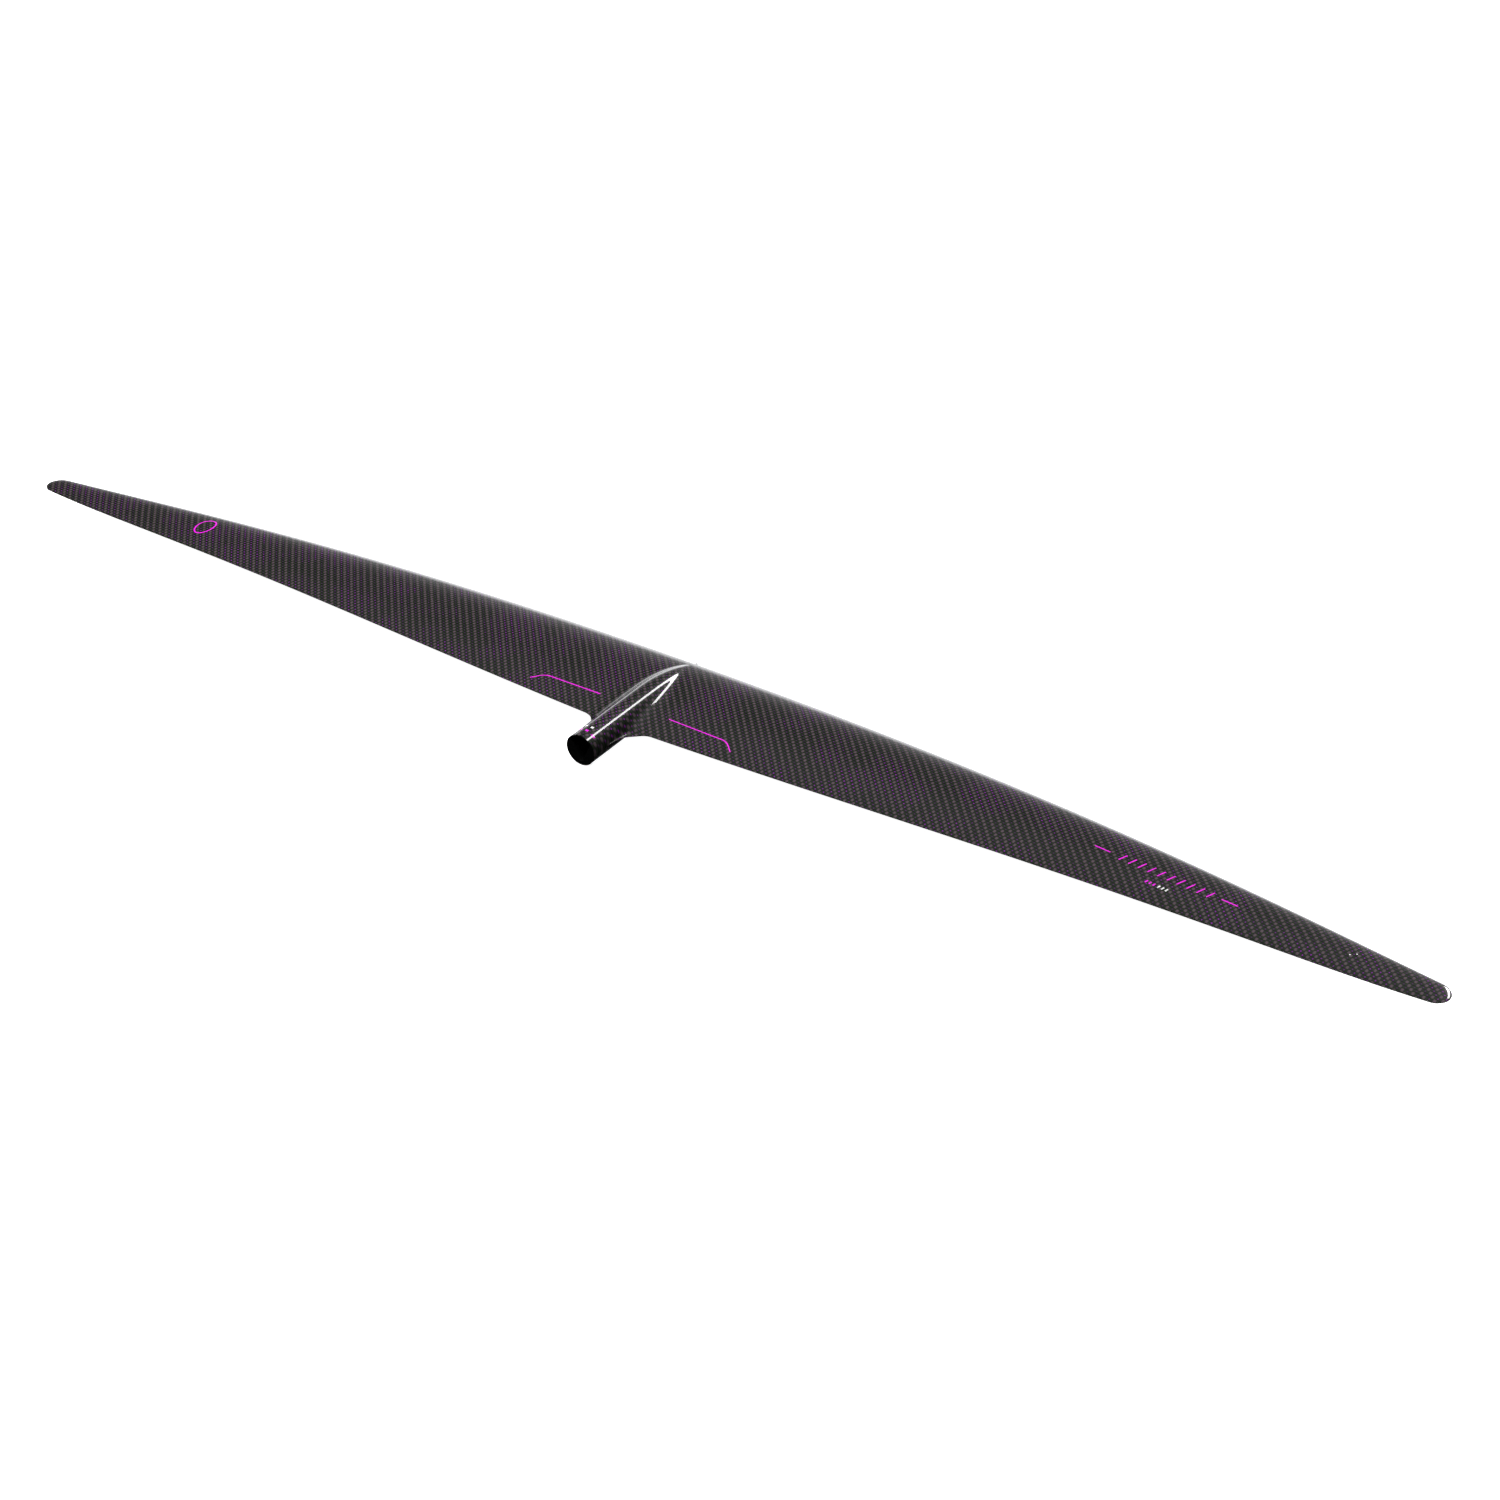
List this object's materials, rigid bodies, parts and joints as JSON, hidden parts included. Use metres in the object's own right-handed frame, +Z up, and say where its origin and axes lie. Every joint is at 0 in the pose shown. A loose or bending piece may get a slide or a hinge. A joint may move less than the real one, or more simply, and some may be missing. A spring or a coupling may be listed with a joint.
{
  "type": "hydrofoil front wing",
  "caption": "Moulded carbon hydrofoil wing, long and tapered, with a rear-facing keyed fuselage socket in a smooth central pod.",
  "frame": {"origin": "centre of the fuselage socket's mouth, on the tube's axis", "axes": "+X to the right along the span, +Y forward from the mouth to the leading edge, +Z up"},
  "size_m": [1.7592, 0.2052, 0.0352],
  "materials": {
    "carbon_twill": "carbon twill with purple tracer under a satin clear coat",
    "solid_carbon": "solid carbon laminate, satin",
    "foam_core": "closed cell foam, matt",
    "filled_resin": "filled epoxy resin, matt",
    "stainless_steel": "turned stainless steel"
  },
  "bodies": {
    "root": {"upper_skin": "carbon_twill", "lower_skin": "carbon_twill", "upper_spar_cap": "solid_carbon", "lower_spar_cap": "solid_carbon", "shear_web": "solid_carbon", "spar_core_front": "foam_core", "spar_core_rear": "foam_core", "leading_edge_bead_left": "solid_carbon", "leading_edge_bead_right": "solid_carbon", "front_core_left": "foam_core", "front_core_right": "foam_core", "rear_core_left": "foam_core", "rear_core_right": "foam_core", "trailing_edge_wedge_left": "filled_resin", "trailing_edge_wedge_right": "filled_resin", "tip_block_left": "filled_resin", "tip_block_right": "filled_resin", "hub_block_left": "filled_resin", "hub_block_right": "filled_resin", "nose_filler_upper": "filled_resin", "nose_filler_lower": "filled_resin", "socket_sleeve": "solid_carbon", "socket_end_block": "filled_resin", "screw_bush_rear": "stainless_steel", "screw_bush_front": "stainless_steel"}
  },
  "joints": []
}
